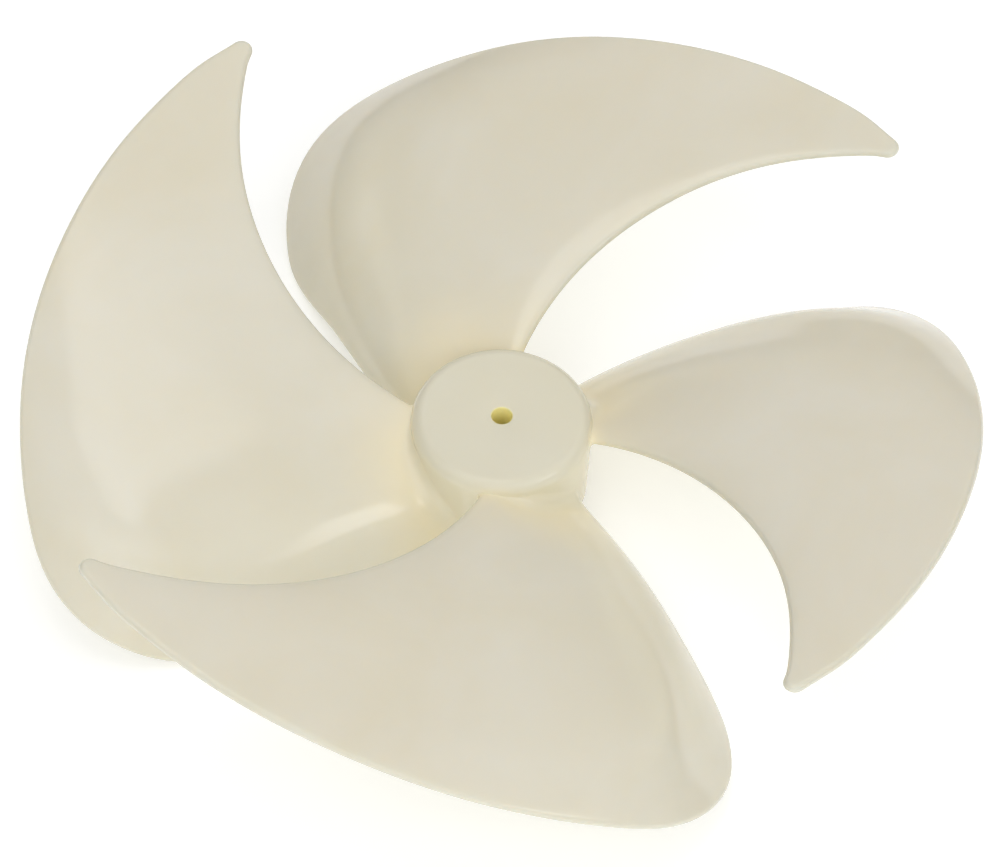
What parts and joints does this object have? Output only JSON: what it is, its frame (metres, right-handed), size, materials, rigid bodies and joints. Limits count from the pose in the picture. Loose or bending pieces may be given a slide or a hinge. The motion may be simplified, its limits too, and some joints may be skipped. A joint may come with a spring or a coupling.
{
  "type": "axial fan impeller",
  "caption": "One-piece moulded axial fan impeller with forward-swept sickle blades on a shallow cup hub and a central press-on shaft bore.",
  "frame": {"origin": "centre of the shaft bore's mouth on the hub's flat top face", "axes": "+Z along the shaft bore, out of the hub's closed top face (the inlet side); X and Y in the rotor plane"},
  "size_m": [0.1476, 0.1476, 0.0363],
  "materials": {
    "plastic": "satin, slightly translucent ivory moulded plastic"
  },
  "bodies": {
    "root": {"impeller": "plastic"}
  },
  "joints": []
}
